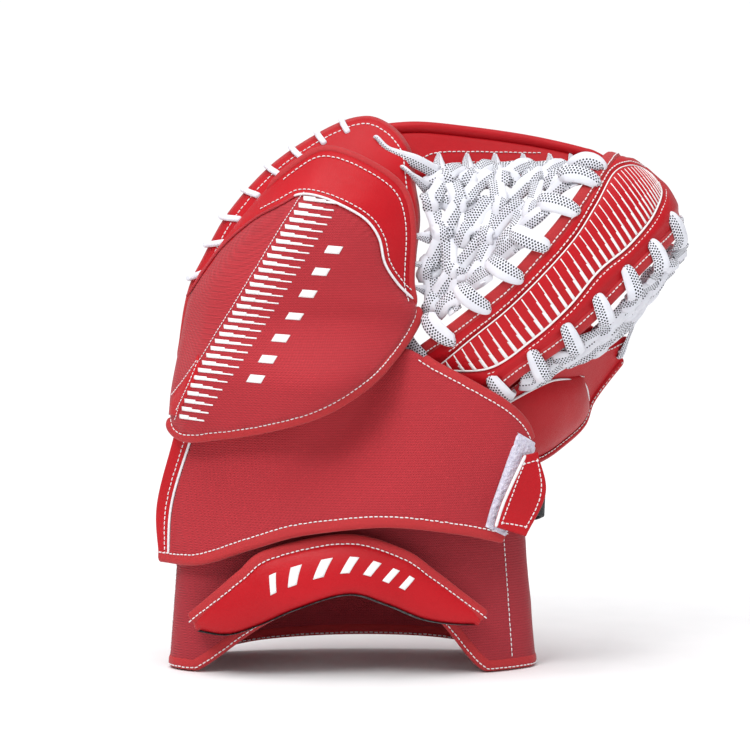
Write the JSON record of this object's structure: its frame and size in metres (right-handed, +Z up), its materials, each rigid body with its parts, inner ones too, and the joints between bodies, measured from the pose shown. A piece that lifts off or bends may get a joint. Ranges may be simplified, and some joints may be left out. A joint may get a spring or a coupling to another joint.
{
  "type": "goalie catch glove",
  "caption": "Ice hockey goalkeeper's catching glove with a padded back, laced net pocket, tee, thumb, wrist cuff flap and strap, standing on its cuff.",
  "frame": {"origin": "centre of the bounding box at the bottom, on the surface that the cuff stands on", "axes": "+Z up the fingers, +X towards the thumb, +Y out of the catching side, -Y out of the back of the hand"},
  "size_m": [0.3708, 0.1963, 0.3841],
  "materials": {
    "leather": "smooth bright red synthetic leather, light grain",
    "fabric": "red ballistic weave",
    "binding": "red woven binding tape with white stitching",
    "palm": "matt red palm leather",
    "lace": "flat white lace with rows of small dark dots",
    "loop": "white brushed loop strip",
    "liner": "black hexagonal mesh",
    "elastic": "black woven elastic",
    "board": "plain stiffener sheet"
  },
  "bodies": {
    "hand": {"finger_shell": "leather", "backhand_pad": "fabric", "finger_palm": "palm", "backhand_binding": "binding", "cuff_front_panel": "fabric", "cuff_front_binding": "binding", "palm_cuff": "fabric", "palm_cuff_binding": "binding", "hand_liner": "liner", "liner_binding": "binding", "index_finger_stall": "liner", "middle_finger_stall": "liner", "ring_finger_stall": "liner", "little_finger_stall": "liner", "palm_board": "board", "hand_strap": "elastic", "palm_heel": "palm", "finger_perimeter_lace": "lace"},
    "tee": {"tee_spine": "leather", "tee_finger_binding": "binding", "tee_thumb_binding": "binding", "tee_backing": "palm", "tee_panel": "leather", "finger_crossbar": "leather", "thumb_crossbar": "leather", "crossbar_bead": "leather", "net_finger_side": "lace", "net_thumb_side": "lace", "tee_thumb_lace": "lace"},
    "thumb": {"thumb_shell": "leather", "thumb_pad": "leather", "thumb_palm": "palm", "thumb_stall": "liner"},
    "cuff_flap": {"cuff_flap": "fabric", "cuff_flap_binding": "binding", "flap_side_strip": "leather", "loop_strip": "loop"},
    "strap": {"strap_tab": "leather", "strap_elastic": "elastic"},
    "wrist_pad": {"wrist_roll": "leather", "wrist_binding": "binding", "wrist_lining": "liner"}
  },
  "joints": [
    {"name": "pocket_close", "type": "hinge", "parent": "hand", "child": "tee", "pos_m": [-0.0045, -0.0135, 0.29042], "axis": [-0.0384, 0.3686, 0.9288], "range_deg": [0, 8], "deforming": ["net_finger_side"]},
    {"name": "thumb_close", "type": "hinge", "parent": "tee", "child": "thumb", "pos_m": [0.1175, 0.0155, 0.21238], "axis": [0.5996, 0.1416, 0.7877], "range_deg": [0, 20], "deforming": ["net_thumb_side"]},
    {"name": "flap_lift", "type": "hinge", "parent": "hand", "child": "cuff_flap", "pos_m": [-0.0865, -0.0475, 0.19599], "axis": [-0.9213, 0.1286, -0.367], "range_deg": [0, 12]},
    {"name": "strap_peel", "type": "hinge", "parent": "hand", "child": "strap", "pos_m": [0.084, 0.0145, 0.1], "axis": [0, 0, 1], "range_deg": [0, 120]},
    {"name": "wrist_pad_flex", "type": "hinge", "parent": "hand", "child": "wrist_pad", "pos_m": [-0.05, -0.0615, 0.094], "axis": [-1, 0, 0], "range_deg": [0, 10]}
  ],
  "couplings": [
    {"joint": "thumb_close", "follows": "pocket_close", "ratio": 2.5},
    {"joint": "strap_peel", "follows": "flap_lift", "ratio": 10}
  ]
}
